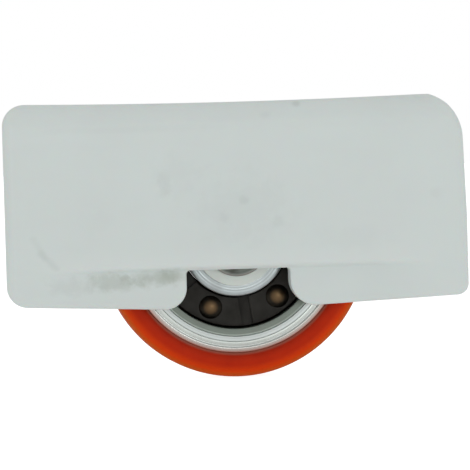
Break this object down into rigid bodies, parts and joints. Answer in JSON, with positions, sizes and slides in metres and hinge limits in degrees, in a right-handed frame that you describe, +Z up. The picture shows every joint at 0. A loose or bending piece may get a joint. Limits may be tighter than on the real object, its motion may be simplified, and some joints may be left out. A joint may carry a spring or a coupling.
{
  "type": "sliding door roller",
  "caption": "Sliding door roller: white plastic housing block carrying a ball-bearing wheel with an orange polyurethane tyre on a snap-in axle.",
  "frame": {"origin": "on the track, straight under the wheel's centre: the point where the tyre touches what it rolls on", "axes": "+X along the housing, the way the wheel rolls; +Y from the front face to the back face, along the axle; +Z up, away from the track"},
  "size_m": [0.0446, 0.016, 0.0272],
  "materials": {
    "housing_plastic": "satin moulded white acetal",
    "spacer_plastic": "off-white acetal washer",
    "axle_steel": "dark oiled steel",
    "bearing_steel": "ground bearing steel",
    "ball_steel": "polished steel under brown grease",
    "cage_nylon": "black nylon, greased",
    "rim_steel": "turned steel",
    "tyre_urethane": "satin orange polyurethane"
  },
  "bodies": {
    "carrier": {"housing": "housing_plastic", "axle": "axle_steel", "spacer_front": "spacer_plastic", "spacer_back": "spacer_plastic", "inner_race": "bearing_steel"},
    "wheel": {"tyre": "tyre_urethane", "rim": "rim_steel", "outer_race": "bearing_steel", "bearing_shield": "bearing_steel"},
    "cage": {"ball_cage": "cage_nylon"},
    "ball_1": {"ball_1": "ball_steel"},
    "ball_2": {"ball_2": "ball_steel"},
    "ball_3": {"ball_3": "ball_steel"},
    "ball_4": {"ball_4": "ball_steel"},
    "ball_5": {"ball_5": "ball_steel"},
    "ball_6": {"ball_6": "ball_steel"}
  },
  "joints": [
    {"name": "wheel_spin", "type": "hinge", "parent": "carrier", "child": "wheel", "pos_m": [0, 0, 0.0131], "axis": [0, 1, 0], "continuous": true},
    {"name": "cage_spin", "type": "hinge", "parent": "carrier", "child": "cage", "pos_m": [0, 0, 0.0131], "axis": [0, 1, 0], "continuous": true},
    {"name": "ball_1_spin", "type": "hinge", "parent": "cage", "child": "ball_1", "pos_m": [-0.00251, 0, 0.00694], "axis": [0, 1, 0], "continuous": true},
    {"name": "ball_2_spin", "type": "hinge", "parent": "cage", "child": "ball_2", "pos_m": [0.00408, 0, 0.00785], "axis": [0, 1, 0], "continuous": true},
    {"name": "ball_3_spin", "type": "hinge", "parent": "cage", "child": "ball_3", "pos_m": [0.00659, 0, 0.014], "axis": [0, 1, 0], "continuous": true},
    {"name": "ball_4_spin", "type": "hinge", "parent": "cage", "child": "ball_4", "pos_m": [0.00251, 0, 0.01926], "axis": [0, 1, 0], "continuous": true},
    {"name": "ball_5_spin", "type": "hinge", "parent": "cage", "child": "ball_5", "pos_m": [-0.00408, 0, 0.01835], "axis": [0, 1, 0], "continuous": true},
    {"name": "ball_6_spin", "type": "hinge", "parent": "cage", "child": "ball_6", "pos_m": [-0.00659, 0, 0.0122], "axis": [0, 1, 0], "continuous": true}
  ],
  "couplings": [
    {"joint": "cage_spin", "follows": "wheel_spin", "ratio": 0.6466},
    {"joint": "ball_1_spin", "follows": "wheel_spin", "ratio": 1.5585},
    {"joint": "ball_2_spin", "follows": "wheel_spin", "ratio": 1.5585},
    {"joint": "ball_3_spin", "follows": "wheel_spin", "ratio": 1.5585},
    {"joint": "ball_4_spin", "follows": "wheel_spin", "ratio": 1.5585},
    {"joint": "ball_5_spin", "follows": "wheel_spin", "ratio": 1.5585},
    {"joint": "ball_6_spin", "follows": "wheel_spin", "ratio": 1.5585}
  ]
}
